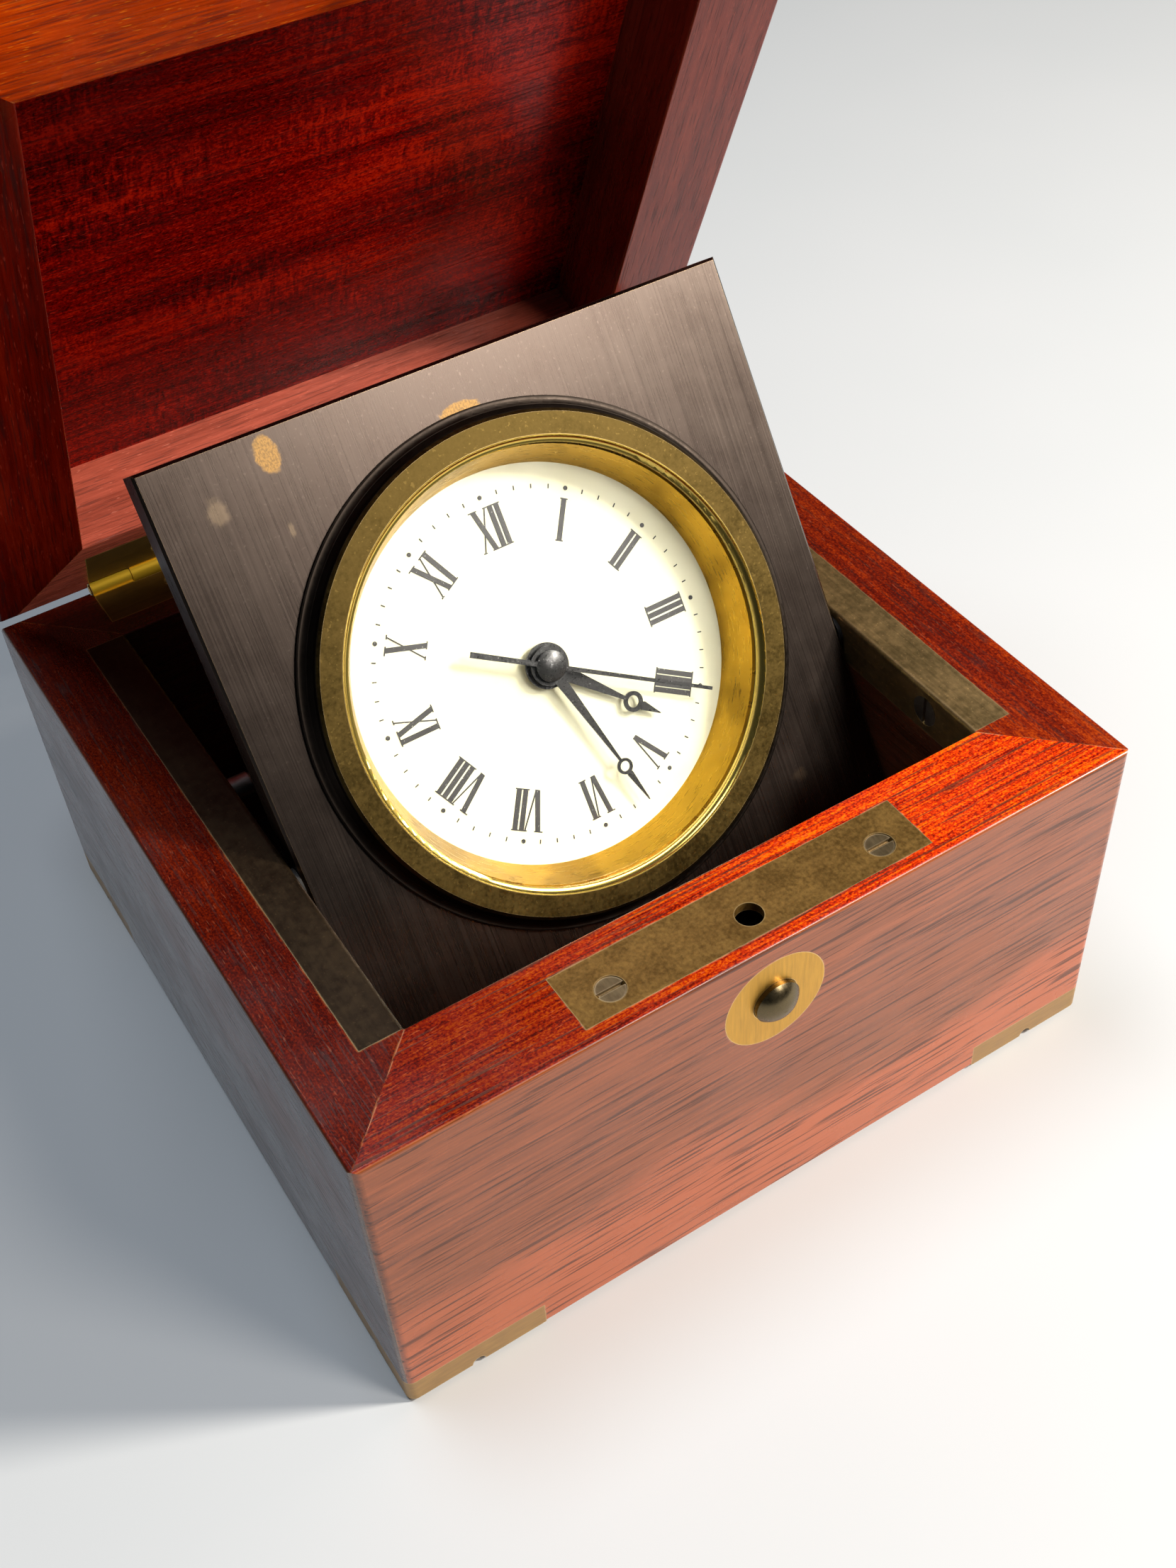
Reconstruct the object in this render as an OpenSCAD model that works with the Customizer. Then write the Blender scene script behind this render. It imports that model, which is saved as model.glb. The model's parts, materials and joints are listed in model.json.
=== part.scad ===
// Boxed deck clock: a square mahogany box with a hinged lid and a quartz clock
// that tilts on two pivots. Origin at the centre of the underside, X to the right,
// Y to the back (the hinge side), Z up. Millimetres.

/* [Box] */
// Outside width and depth of the square box
box_w = 127; // [124:1:130]
// Height of the base, without the lid
base_h = 60; // [59:0.5:62]
// Thickness of the base boards
wall_t = 16; // [15.5:0.25:16.5]
// Height of the lid
lid_h = 22; // [21:0.5:25]
// Thickness of the lid rails
lid_wall_t = 15.4; // [15:0.1:15.8]
// Depth from the lid's rim to its inner panel
lid_depth = 14.25; // [13:0.25:15]
// Radius of the outer upright corners
corner_r = 1.5; // [1:0.25:2]
// Radius of the rim's edges
rim_r = 0.6; // [0.3:0.1:0.8]
// Gap between the closed rims
rim_gap = 0.3; // [0.2:0.05:0.5]

/* [Pose] */
// How far the lid stands open from closed, in degrees
lid_open = 65.3; // [40:0.1:90]
// How far the clock is tilted up from flat, in degrees
clock_tilt = 56; // [40:0.5:70]

/* [Clock] */
// Width of the square clock plate
plate_w = 93.5; // [92.5:0.25:94]
// Thickness of the clock plate
plate_t = 5.6; // [5:0.1:6]
// Distance from the pivots up to the dial's centre
pivot_to_dial = 13.9; // [12:0.1:15]
// Outer radius of the bezel
bezel_r = 39.2; // [38.5:0.1:40]
// Height of the bezel above the plate
bezel_h = 3.5; // [3:0.1:4]
// Radius of the visible dial
dial_r = 30; // [29:0.25:30.5]
// Depth of the dial below the plate's face
dial_depth = 4.9; // [4.7:0.1:5.1]

/* [Time shown] */
// Hour hand, degrees clockwise from twelve
hour_angle = 133.6; // [0:0.1:360]
// Minute hand, degrees clockwise from twelve
minute_angle = 163; // [0:0.1:360]
// Seconds hand, degrees clockwise from twelve
seconds_angle = 120; // [0:0.1:360]

/* [Fittings] */
// Half length of the lock plate
lock_half = 28.4; // [27:0.1:30]
// Radius of the push button
button_r = 3.6; // [3.4:0.1:3.8]
// Radius of the round plate around the button
escutcheon_r = 8.4; // [8:0.1:9]
// Length of each leg of the bottom corner plates
corner_leg = 22.9; // [20:0.1:26]
// Length of one hinge
hinge_len = 35; // [33:0.5:36]

/* [Hidden] */
$fn = 64;

eps = 0.01;
half = box_w / 2;
inner = half - wall_t;
felt_t = 0.8;
fit_gap = 0.05;

// hinge
axis_y = half - 2.25;
axis_z = base_h + rim_gap / 2;
knuckle_r = 1.55;
pin_r = 0.8;
leaf_t = 1.2;
leaf_front = half - 12;
hinge_x = 48.1 - hinge_len / 2;
knuckle_w = hinge_len / 5;
hinge_screw_x = 4.5;
groove_r = 1.9;
rear_chamfer = 3;

// clock pivots
pivot_y = -13.9;
pivot_z = 56;
pivot_r = 1.5;
bore_r = 1.55;
rail_flange = 6.65;
rail_t = 1.2;
rail_web = 8;
rail_screw_y = 36.6;
stud_y = 14;
stud_r = 2;
stud_z = base_h - 1.2 - plate_t - 0.1 - stud_r;

// lock and catch
lock_y0 = -half + 2.4;
lock_d = 10;
lock_t = 1.5;
latch_y = -half + 6.3;
lock_screw_x = 22.2;
lock_sink = 0.15;
lid_plate_half = 11;
lid_screw_x = 7.4;
button_z = base_h - 11.8;
pocket = [9, -half + 2.8, -half + 13, base_h - 17, base_h - lock_t];

// lid heights in the closed position
lid_z = base_h + rim_gap;
lid_inner = half - lid_wall_t;

// ---------------------------------------------------------------- helpers

// The corner outside a round edge of radius r, to be cut away
module edge_cut(r)
    difference() {
        translate([-1, -1]) square(r + 1);
        translate([r, r]) circle(r);
    }

module rounded_square(half_w, r) {
    square([2 * half_w - 2 * r, 2 * half_w], center = true);
    square([2 * half_w, 2 * half_w - 2 * r], center = true);
    for (x = [-1, 1], y = [-1, 1])
        translate([x * (half_w - r), y * (half_w - r)]) circle(r);
}

// Board section, from the outer face (0) to the inner face (thick)
module board_section(thick, h, r_bottom, r_top, r_inner_bottom, r_inner_top)
    difference() {
        square([thick, h]);
        edge_cut(r_bottom);
        translate([0, h]) mirror([0, 1]) edge_cut(r_top);
        translate([thick, 0]) mirror([1, 0]) edge_cut(r_inner_bottom);
        translate([thick, h]) mirror([1, 0]) mirror([0, 1]) edge_cut(r_inner_top);
    }

// One mitred side of a square frame; side 0 is the front, 1 right, 2 rear, 3 left
module mitred_side(side, thick, z0, h, rounds)
    rotate([0, 0, 90 * side])
    intersection() {
        translate([0, 0, z0]) linear_extrude(h)
            intersection() {
                rounded_square(half, corner_r);
                polygon([[-half, -half], [half, -half],
                    [half - thick, -half + thick], [-half + thick, -half + thick]]);
            }
        translate([-half - 1, -half, z0]) rotate([90, 0, 90]) linear_extrude(box_w + 2)
            board_section(thick, h, rounds[0], rounds[1], rounds[2], rounds[3]);
    }

module block(x0, x1, y0, y1, z0, z1)
    translate([x0, y0, z0]) cube([x1 - x0, y1 - y0, z1 - z0]);

// Countersunk slotted screw: top of the head at z = 0, shank down -Z, slot along X
module screw(head_r, head_h, shank_r, length, slot_w) {
    difference() {
        translate([0, 0, -head_h]) cylinder(h = head_h, r1 = shank_r, r2 = head_r);
        translate([-head_r - 1, -slot_w / 2, -head_h * 0.4]) cube([2 * head_r + 2, slot_w, head_h]);
    }
    translate([0, 0, -length + shank_r]) cylinder(h = length - shank_r - head_h, r = shank_r);
    translate([0, 0, -length]) cylinder(h = shank_r, r1 = 0.1, r2 = shank_r);
}

// The hole that such a screw fills
module screw_hole(head_r, head_h, shank_r, length, above = 2) {
    translate([0, 0, -head_h]) cylinder(h = head_h, r1 = shank_r + fit_gap, r2 = head_r + fit_gap);
    translate([0, 0, -length - 0.2]) cylinder(h = length, r = shank_r + fit_gap);
    translate([0, 0, -eps]) cylinder(h = above, r = head_r + fit_gap);
}

module both_sides() {
    children();
    mirror([1, 0, 0]) children();
}

module four_corners() for (turn = [0:3]) rotate([0, 0, 90 * turn]) children();

module lid_place()
    translate([0, axis_y, axis_z]) rotate([-lid_open, 0, 0]) translate([0, -axis_y, -axis_z])
    children();

// Clock coordinates: origin at the dial's centre on the plate's front face, Z out of it
module clock_place()
    translate([0, pivot_y, pivot_z]) rotate([clock_tilt, 0, 0])
    translate([0, pivot_to_dial, plate_t / 2])
    children();

// ---------------------------------------------------------------- screws' places

module lock_screw_places(z)
    for (x = [-lock_screw_x, lock_screw_x]) translate([x, latch_y, z]) children();

module lid_screw_places()
    for (x = [-lid_screw_x, lid_screw_x])
        translate([x, latch_y, lid_z + lock_sink]) rotate([180, 0, 0]) children();

corner_screw_in = 4.5;
module corner_screw_places()
    four_corners() for (k = [0, 1])
        mirror([k, k == 1 ? -1 : 0, 0])
        translate([half - corner_screw_in, half - corner_leg / 2, felt_t]) rotate([180, 0, 0])
        children();

module rail_screw_places()
    both_sides() for (y = [-rail_screw_y, rail_screw_y])
        translate([inner, y, base_h - 4.2]) rotate([0, -90, 0]) children();

module hinge_screw_places(z, up)
    both_sides() for (x = [-hinge_screw_x, hinge_screw_x])
        translate([hinge_x + x, leaf_front + 4.4, z])
        rotate([up ? 0 : 180, 0, 0]) children();

lock_head = [2.15, 1.3, 1.1, 10, 0.6];
small_head = [2.0, 1.1, 1.0, 8, 0.5];
rail_head = [2.5, 1.1, 1.3, 9, 0.6];
hinge_head = [1.9, 1.0, 0.9, 8, 0.45];
module fit_screw(s) screw(s[0], s[1], s[2], s[3], s[4]);
module fit_hole(s) screw_hole(s[0], s[1], s[2], s[3]);

// ---------------------------------------------------------------- base boards

base_rounds = [0.5, rim_r, 0.2, 0.35];

module rail_body(lug) {
    translate([inner, inner, base_h]) rotate([90, 0, 0]) linear_extrude(2 * inner)
        difference() {
            union() {
                translate([0, -rail_t]) square([rail_flange, rail_t]);
                translate([0, -rail_web]) square([rail_t, rail_web]);
            }
            mirror([0, 1]) edge_cut(0.7);
        }
    block(inner, inner + rail_t, stud_y - 5, stud_y + 5, stud_z - stud_r - 2, base_h - rail_web + 1);
}

module rail_recess() {
    block(inner - 1, inner + rail_flange, -inner, inner, base_h - rail_t, base_h + 1);
    block(inner - 1, inner + rail_t, -inner, inner, base_h - rail_web, base_h + 1);
    block(inner - 1, inner + rail_t, stud_y - 5, stud_y + 5, stud_z - stud_r - 2, base_h);
}

module knuckle_groove()
    translate([hinge_x - hinge_len / 2 - 0.3, axis_y, axis_z]) rotate([0, 90, 0])
    cylinder(h = hinge_len + 0.6, r = groove_r);

module base_recesses() {
    // groove that holds the bottom panel
    block(-inner - 2, inner + 2, -inner - 2, inner + 2, 4, 8);
    // bottom corner plates: upright band, its underside plate and the screws
    four_corners() corner_band(0);
    corner_screw_places() fit_hole(small_head);
    both_sides() rail_recess();
    rail_screw_places() fit_hole(rail_head);
    both_sides() {
        // seats of the pivot pins and rest studs
        translate([inner - 1, pivot_y, pivot_z]) rotate([0, 90, 0]) cylinder(h = 8, r = pivot_r + 0.02);
        translate([inner - 1, stud_y, stud_z]) rotate([0, 90, 0]) cylinder(h = 8, r = stud_r + 0.02);
        block(hinge_x - hinge_len / 2, hinge_x + hinge_len / 2, leaf_front, axis_y,
            base_h - leaf_t, base_h + 1);
        knuckle_groove();
    }
    hinge_screw_places(base_h, true) fit_hole(hinge_head);
    // rear rim edge, cut at 45 degrees so that the lid can swing back
    translate([-half - 1, half, base_h - rear_chamfer]) rotate([90, 0, 90]) linear_extrude(box_w + 2)
        polygon([[0, 0], [1, 0], [1, rear_chamfer + 1], [-rear_chamfer - 1, rear_chamfer + 1],
            [-rear_chamfer, rear_chamfer]]);
    // lock plate, its screws, the catch pocket and the button's opening
    block(-lock_half, lock_half, lock_y0, lock_y0 + lock_d, base_h - lock_t, base_h + 1);
    lock_screw_places(base_h - lock_sink) fit_hole(lock_head);
    block(-pocket[0], pocket[0], pocket[1], pocket[2], pocket[3], pocket[4] + eps);
    translate([0, -half + 2, button_z]) rotate([90, 0, 0]) cylinder(h = 3, r = escutcheon_r);
    translate([0, -half + 4, button_z]) rotate([90, 0, 0]) cylinder(h = 5, r = button_r + 0.15);
}

module base_board(side)
    difference() {
        mitred_side(side, wall_t, felt_t, base_h - felt_t, base_rounds);
        base_recesses();
    }

module base_front_board() color("#8a3f2e") base_board(0);
module base_right_board() color("#a03c20") base_board(1);
module base_rear_board() color("#8c2f1c") base_board(2);
module base_left_board() color("#7d4238") base_board(3);

module bottom_panel() color("#5a2a1c")
    block(-inner - 2, inner + 2, -inner - 2, inner + 2, 4, 8);

module floor_lining() color("#15100e")
    block(-inner + 0.1, inner - 0.1, -inner + 0.1, inner - 0.1, 8, 8.8);

module base_felt() color("#22301f")
    linear_extrude(felt_t) rounded_square(half - 8.2, 2);

// ---------------------------------------------------------------- bottom corners

band_t = 1.2;
band_h = 4.7;
foot_w = 8;
foot_t = 1;

module corner_band(notch) {
    difference() {
        intersection() {
            translate([0, 0, felt_t]) linear_extrude(band_h)
                rounded_square(half, corner_r);
            union() {
                difference() {
                    block(half - corner_leg, half + 1, half - corner_leg, half + 1, felt_t, felt_t + band_h);
                    block(0, half - band_t, 0, half - band_t, 0, 2 * band_h);
                }
                difference() {
                    block(half - corner_leg, half + 1, half - corner_leg, half + 1, felt_t, felt_t + foot_t);
                    block(0, half - foot_w, 0, half - foot_w, 0, 2 * band_h);
                }
            }
        }
        if (notch > 0) {
            translate([half - corner_leg / 2, half + 1, felt_t]) rotate([90, 0, 0])
                cylinder(h = band_t + 1, r = notch);
            translate([half + 1, half - corner_leg / 2, felt_t]) rotate([0, -90, 0])
                cylinder(h = band_t + 1, r = notch);
        }
    }
}

module corner_brasses() color("#b0884f")
    difference() {
        four_corners() corner_band(1.1);
        corner_screw_places() fit_hole(small_head);
    }

module corner_screws() color("#8f7440") corner_screw_places() fit_screw(small_head);

// ---------------------------------------------------------------- lock and catch

module lock_plate() color("#8d7146")
    difference() {
        block(-lock_half, lock_half, lock_y0, lock_y0 + lock_d, base_h - lock_t, base_h);
        lock_screw_places(base_h - lock_sink) fit_hole(lock_head);
        translate([0, latch_y, base_h - 3]) cylinder(h = 5, r = 2.05);
    }

module lock_plate_screws() color("#5c5348")
    lock_screw_places(base_h - lock_sink) fit_screw(lock_head);

module escutcheon() color("#c8a25a")
    translate([0, -half + 2, button_z]) rotate([90, 0, 0])
    difference() {
        cylinder(h = 2, r = escutcheon_r);
        translate([0, 0, -1]) cylinder(h = 4, r = button_r + fit_gap);
    }

// Button: dome in front, flange that stops it, stem through the catch slide
dome_h = 1.8;
dome_sphere = (button_r * button_r + dome_h * dome_h) / (2 * dome_h);
module push_button() color("#6e5a40")
    translate([0, -half, button_z]) rotate([90, 0, 0]) {
        translate([0, 0, -3.3]) cylinder(h = 4, r = button_r);
        intersection() {
            translate([0, 0, 0.7]) cylinder(h = 3, r = button_r);
            translate([0, 0, 0.7 + dome_h - dome_sphere]) sphere(dome_sphere);
        }
        translate([0, 0, -3.8]) cylinder(h = 0.8, r = 4.35);
        translate([0, 0, -10.5]) cylinder(h = 7, r = 1.2);
    }

module catch_slide() color("#7f8487") {
    difference() {
        block(-5, 5, -half + 3.9, -half + 5.1, base_h - 15.2, base_h - 4.8);
        block(-2.6, 2.6, -half + 3, -half + 6, base_h - 8.2, base_h);
        translate([0, -half + 6, button_z]) rotate([90, 0, 0]) cylinder(h = 4, r = 1.22);
    }
    for (x = [-5, 2.6])
        block(x, x + 2.4, -half + 5.1, -half + 8.25, base_h - 6, base_h - 4.8);
    block(-5, 5, -half + 8.25, -half + 10.7, base_h - 6, base_h - 4.8);
}

// Return spring around the stem, wound from its slide end to the pocket's rear wall
spring_r = 2.1;
spring_wire = 0.25;
spring_turns = 5;
spring_y0 = -half + 5.1;
spring_len = 7.9;
spring_pitch = (spring_len - 2 * spring_wire) / (spring_turns - 1);
module catch_spring() color("#9a9c9c")
    for (k = [0:spring_turns - 1])
        translate([0, spring_y0 + spring_wire + k * spring_pitch, button_z])
        rotate([90, 0, 0]) rotate_extrude() translate([spring_r, 0]) circle(spring_wire);

// ---------------------------------------------------------------- rails and pivots

module rail_right() color("#9a7d52")
    difference() {
        rail_body();
        rail_screw_places() fit_hole(rail_head);
        translate([inner - 1, pivot_y, pivot_z]) rotate([0, 90, 0]) cylinder(h = 8, r = pivot_r + 0.02);
        translate([inner - 1, stud_y, stud_z]) rotate([0, 90, 0]) cylinder(h = 8, r = stud_r + 0.02);
    }

module rail_left() mirror([1, 0, 0]) rail_right();

module rail_screws() color("#a9a49a")
    rail_screw_places() fit_screw(rail_head);

module rest_studs() color("#b5b2ab")
    both_sides() translate([inner - 5, stud_y, stud_z]) rotate([0, 90, 0]) {
        translate([0, 0, 0.4]) cylinder(h = 11, r = stud_r);
        cylinder(h = 0.4, r1 = stud_r - 0.4, r2 = stud_r);
    }

module pivot_pins() color("#8f8c86")
    both_sides() translate([plate_w / 2 - 7.9, pivot_y, pivot_z]) rotate([0, 90, 0])
    cylinder(h = 14.4, r = pivot_r);

module friction_washers() color("#2b2724")
    both_sides() translate([plate_w / 2 + 0.08, pivot_y, pivot_z]) rotate([0, 90, 0])
    difference() {
        cylinder(h = 0.6, r = 2.7);
        translate([0, 0, -1]) cylinder(h = 3, r = pivot_r + 0.02);
    }

// ---------------------------------------------------------------- hinges

// One knuckle barrel with the strip that ties it to its leaf
module knuckle(k, side) {
    x0 = hinge_x - hinge_len / 2 + k * knuckle_w + 0.06;
    translate([x0, axis_y, axis_z]) rotate([0, 90, 0]) cylinder(h = knuckle_w - 0.12, r = knuckle_r);
    strip_z = side < 0 ? base_h - leaf_t : lid_z;
    block(x0, x0 + knuckle_w - 0.12, axis_y - 2.2, axis_y, strip_z, strip_z + leaf_t);
}

module hinge_leaves(side)
    both_sides() difference() {
        union() {
            block(hinge_x - hinge_len / 2, hinge_x + hinge_len / 2, leaf_front, axis_y - 2.1,
                side < 0 ? base_h - leaf_t : lid_z, side < 0 ? base_h : lid_z + leaf_t);
            for (k = side < 0 ? [0, 2, 4] : [1, 3]) knuckle(k, side);
        }
        translate([hinge_x - hinge_len, axis_y, axis_z]) rotate([0, 90, 0])
            cylinder(h = 2 * hinge_len, r = side < 0 ? pin_r + 0.01 : pin_r + fit_gap);
        for (x = [-hinge_screw_x, hinge_screw_x])
            translate([hinge_x + x, leaf_front + 4.4, side < 0 ? base_h : lid_z])
            rotate([side < 0 ? 0 : 180, 0, 0]) fit_hole(hinge_head);
    }

module hinge_leaves_lower() color("#c19a4e") hinge_leaves(-1);
module hinge_leaves_upper() color("#c19a4e") lid_place() hinge_leaves(1);

module hinge_pins() color("#b58f45")
    both_sides() translate([hinge_x - hinge_len / 2 - 0.1, axis_y, axis_z]) rotate([0, 90, 0])
    cylinder(h = hinge_len + 0.2, r = pin_r);

module hinge_screws_lower() color("#b58f45")
    hinge_screw_places(base_h, true) fit_screw(hinge_head);
module hinge_screws_upper() color("#b58f45")
    lid_place() hinge_screw_places(lid_z, false) fit_screw(hinge_head);

// ---------------------------------------------------------------- lid

lid_rounds = [rim_r, 1.2, 0.35, 0.2];
panel_z = lid_z + lid_depth;
tongue = 3;

module lid_recesses() {
    // rebate and groove that hold the panel
    block(-lid_inner - tongue, lid_inner + tongue, -lid_inner - tongue, lid_inner + tongue,
        panel_z + 2, panel_z + 5);
    translate([-half - 1, half, lid_z + rear_chamfer]) rotate([90, 0, 90]) linear_extrude(box_w + 2)
        polygon([[0, 0], [1, 0], [1, -rear_chamfer - 1], [-rear_chamfer - 1, -rear_chamfer - 1],
            [-rear_chamfer, -rear_chamfer]]);
    both_sides() {
        block(hinge_x - hinge_len / 2, hinge_x + hinge_len / 2, leaf_front, axis_y,
            lid_z - 1, lid_z + leaf_t);
        knuckle_groove();
    }
    hinge_screw_places(lid_z, false) fit_hole(hinge_head);
    block(-lid_plate_half, lid_plate_half, lock_y0, lock_y0 + lock_d, lid_z - 1, lid_z + lock_t);
    lid_screw_places() fit_hole(lock_head);
    translate([0, latch_y, lid_z]) cylinder(h = 4.2, r = 1.1);
}

module lid_rail(side) lid_place()
    difference() {
        mitred_side(side, lid_wall_t, lid_z, lid_h, lid_rounds);
        lid_recesses();
    }

module lid_front_rail() color("#b3431b") lid_rail(0);
module lid_right_rail() color("#8c4a3c") lid_rail(1);
module lid_rear_rail() color("#a5382a") lid_rail(2);
module lid_left_rail() color("#6e1d14") lid_rail(3);

module lid_panel() color("#6b1512") lid_place() {
    block(-lid_inner, lid_inner, -lid_inner, lid_inner, panel_z, lid_z + lid_h);
    block(-lid_inner - tongue, lid_inner + tongue, -lid_inner - tongue, lid_inner + tongue,
        panel_z + 2, panel_z + 5);
}

module lid_latch_plate() color("#8d7146") lid_place()
    difference() {
        block(-lid_plate_half, lid_plate_half, lock_y0, lock_y0 + lock_d, lid_z, lid_z + lock_t);
        lid_screw_places() fit_hole(lock_head);
        translate([0, latch_y, lid_z - 1]) cylinder(h = 5, r = 1.1);
    }

module lid_latch_screws() color("#5c5348") lid_place()
    lid_screw_places() fit_screw(lock_head);

module latch_stud() color("#8a8378") lid_place()
    translate([0, latch_y, base_h]) {
        translate([0, 0, -7.3]) cylinder(h = 0.3, r1 = 1.4, r2 = 1.7);
        translate([0, 0, -7]) cylinder(h = 0.5, r = 1.7);
        translate([0, 0, -6.5]) cylinder(h = 2, r = 1.05);
        translate([0, 0, -4.5]) cylinder(h = 4.5 + rim_gap, r = 1.6);
        cylinder(h = 4, r = 1.08);
    }

// ---------------------------------------------------------------- clock case

hole_r = 36.2;
can_r = 35.8;
can_inner = 34.8;
can_depth = 21;

module clock_plate() color("#4d4642") clock_place()
    difference() {
        intersection() {
            translate([-plate_w / 2, 0, -plate_t]) rotate([90, 0, 90])
                linear_extrude(plate_w) plate_section();
            translate([0, plate_w / 2, -plate_t]) rotate([90, 0, 0])
                linear_extrude(plate_w) plate_section();
        }
        translate([0, 0, -plate_t - 1]) cylinder(h = plate_t + 2, r = hole_r);
        both_sides() translate([plate_w / 2 - 8.1, -pivot_to_dial, -plate_t / 2]) rotate([0, 90, 0])
            cylinder(h = 9, r = bore_r);
        retaining_places() translate([0, 0, -1]) cylinder(h = 4, r = 0.9);
    }

module plate_section()
    difference() {
        translate([-plate_w / 2, 0]) square([plate_w, plate_t]);
        for (s = [0, 1]) mirror([s, 0]) translate([-plate_w / 2, plate_t]) rotate(45)
            square([0.6, 0.6], center = true);
    }

// Profile half-sections are drawn as [radius, height above the plate's face]
opening_r = 32.4;
module bezel() color("#6a4d3a") clock_place() rotate_extrude()
    difference() {
        polygon([[33, -4.4], [34.6, -4.4], [34.6, 0], [bezel_r, 0], [bezel_r, 0.5],
            [37.9, 1.1], [37.3, 2.1], [37.2, bezel_h - 0.5], [36.7, bezel_h], [opening_r, bezel_h],
            [opening_r, 2.2], [33.1, 2.2], [33.1, 1], [33, 1]]);
        // polished cove between the face of the ring and the glass
        translate([opening_r, bezel_h + 0.35]) circle(1.1);
        // cove at the foot of the side wall
        translate([38.9, 1.75]) circle(1.15);
    }

module crystal() color([0.85, 0.9, 0.95, 0.35]) clock_place()
    translate([0, 0, 1]) cylinder(h = 1.15, r = 32.75);

module crystal_gasket() color("#1a1a1a") clock_place() translate([0, 0, 1]) rotate_extrude()
    translate([32.78, 0]) square([0.29, 1.15]);

module rehaut_ring() color("#c9a356") clock_place() rotate_extrude()
    polygon([[dial_r, -dial_depth], [32.9, -dial_depth], [32.9, 0.95], [32.25, 0.95]]);

dial_t = 0.4;
module dial() color("#f4f2ea") clock_place()
    translate([0, 0, -dial_depth - dial_t]) difference() {
        cylinder(h = dial_t, r = 34.6);
        translate([0, 0, -1]) cylinder(h = 3, r = 1.75);
    }

// ---------------------------------------------------------------- dial print

print_t = 0.06;
num_in = 18.6;
num_out = 25;
thick = 0.8;
thin = 0.22;
serif = 0.19;
dot_ring = 26.5;

// Straight stroke from x0 at the inner end to x1 at the outer end
module stroke(x0, x1, w)
    polygon([[x0 - w / 2, num_in], [x0 + w / 2, num_in], [x1 + w / 2, num_out], [x1 - w / 2, num_out]]);

module serif_bar(x, w, y) translate([x - w / 2, y == num_in ? y : y - serif]) square([w, serif]);

function glyph_width(g, step) = g == "I" ? step : g == "V" ? 2.2 : 2.9;

module glyph(g, step) {
    if (g == "I") {
        stroke(0, 0, thick);
        serif_bar(0, step + 0.16, num_in);
        serif_bar(0, step + 0.16, num_out);
    }
    if (g == "V") {
        stroke(-0.25, -1.08, thick);
        stroke(-0.05, 1.08, thin);
        serif_bar(-1.15, 1.4, num_out);
        serif_bar(1.08, 0.7, num_out);
    }
    if (g == "X") {
        stroke(0.75, -0.85, thick);
        stroke(-1.15, 1.17, thin);
        serif_bar(-0.9, 1.4, num_out);
        serif_bar(1.17, 0.7, num_out);
        serif_bar(0.75, 1.2, num_in);
        serif_bar(-1.15, 0.6, num_in);
    }
}

function lead(word, k, step) = k == 0 ? 0 : lead(word, k - 1, step) + glyph_width(word[k - 1], step);

module numeral(word) {
    step = word == "IIII" ? 0.95 : 1.06;
    total = lead(word, len(word), step);
    for (k = [0:len(word) - 1])
        translate([lead(word, k, step) + glyph_width(word[k], step) / 2 - total / 2, 0])
        glyph(word[k], step);
}

HOURS = ["I", "II", "III", "IIII", "V", "VI", "VII", "VIII", "IX", "X", "XI", "XII"];
module dial_markers() color("#1c1a1a") clock_place()
    translate([0, 0, -dial_depth]) rotate([0, 0, 0.5]) linear_extrude(print_t) {
        for (h = [1:12]) rotate(-30 * h) {
            numeral(HOURS[h - 1]);
            translate([0, dot_ring]) circle(0.34);
        }
        for (m = [1:59]) if (m % 5 != 0)
            rotate(-6 * m) translate([-0.09, dot_ring - 0.33]) square([0.18, 0.66]);
    }

// ---------------------------------------------------------------- case back

module retaining_places(r = 38.6)
    for (a = [45:90:315]) rotate([0, 0, a]) translate([r, 0, -plate_t]) children();

module case_can() color("#8d8a84") clock_place() rotate_extrude()
    polygon([[can_inner, -can_depth], [can_r, -can_depth], [can_r, -0.05], [can_inner, -0.05]]);

module case_back() color("#7f7c77") clock_place()
    difference() {
        translate([0, 0, -can_depth]) cylinder(h = 1, r = can_inner - 0.02);
        translate([setting_c, 0, -can_depth - 1]) cylinder(h = 3, r = 2.6);
    }

module retaining_ring() color("#9a958c") clock_place()
    difference() {
        translate([0, 0, -plate_t - 1.2]) cylinder(h = 1.2, r = 41);
        translate([0, 0, -plate_t - 2]) cylinder(h = 3, r = can_r + 0.02);
        retaining_places() translate([0, 0, -2]) cylinder(h = 4, r = 1.05);
    }

module retaining_screws() color("#b9b6b0") clock_place()
    retaining_places() {
        translate([0, 0, -2.2]) difference() {
            cylinder(h = 1, r = 1.6);
            translate([-2, -0.25, -1]) cube([4, 0.5, 1.4]);
        }
        translate([0, 0, -1.4]) cylinder(h = 4, r = 0.85);
    }

// ---------------------------------------------------------------- gears

// Spur gear with straight-sided thinned teeth; one tooth points along `phase`
// (degrees anticlockwise from +X, seen from the dial side)
tooth_root = 0.42;
tooth_tip = 0.13;
module gear_2d(teeth, mod, phase, hole = 0) {
    pitch = teeth * mod / 2;
    root = pitch - 1.2 * mod;
    tip = pitch + 0.8 * mod;
    step = 360 / teeth;
    difference() {
        polygon([for (k = [0:teeth - 1], c = [0:3])
            let (a = phase + k * step + [-tooth_root, -tooth_tip, tooth_tip, tooth_root][c] * step / 2)
            let (r = [root, tip, tip, root][c])
            [r * cos(a), r * sin(a)]]);
        if (hole > 0) circle(hole);
    }
}

module gear(teeth, mod, phase, z0, h, hole = 0)
    translate([0, 0, z0]) linear_extrude(h) gear_2d(teeth, mod, phase, hole);

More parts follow.
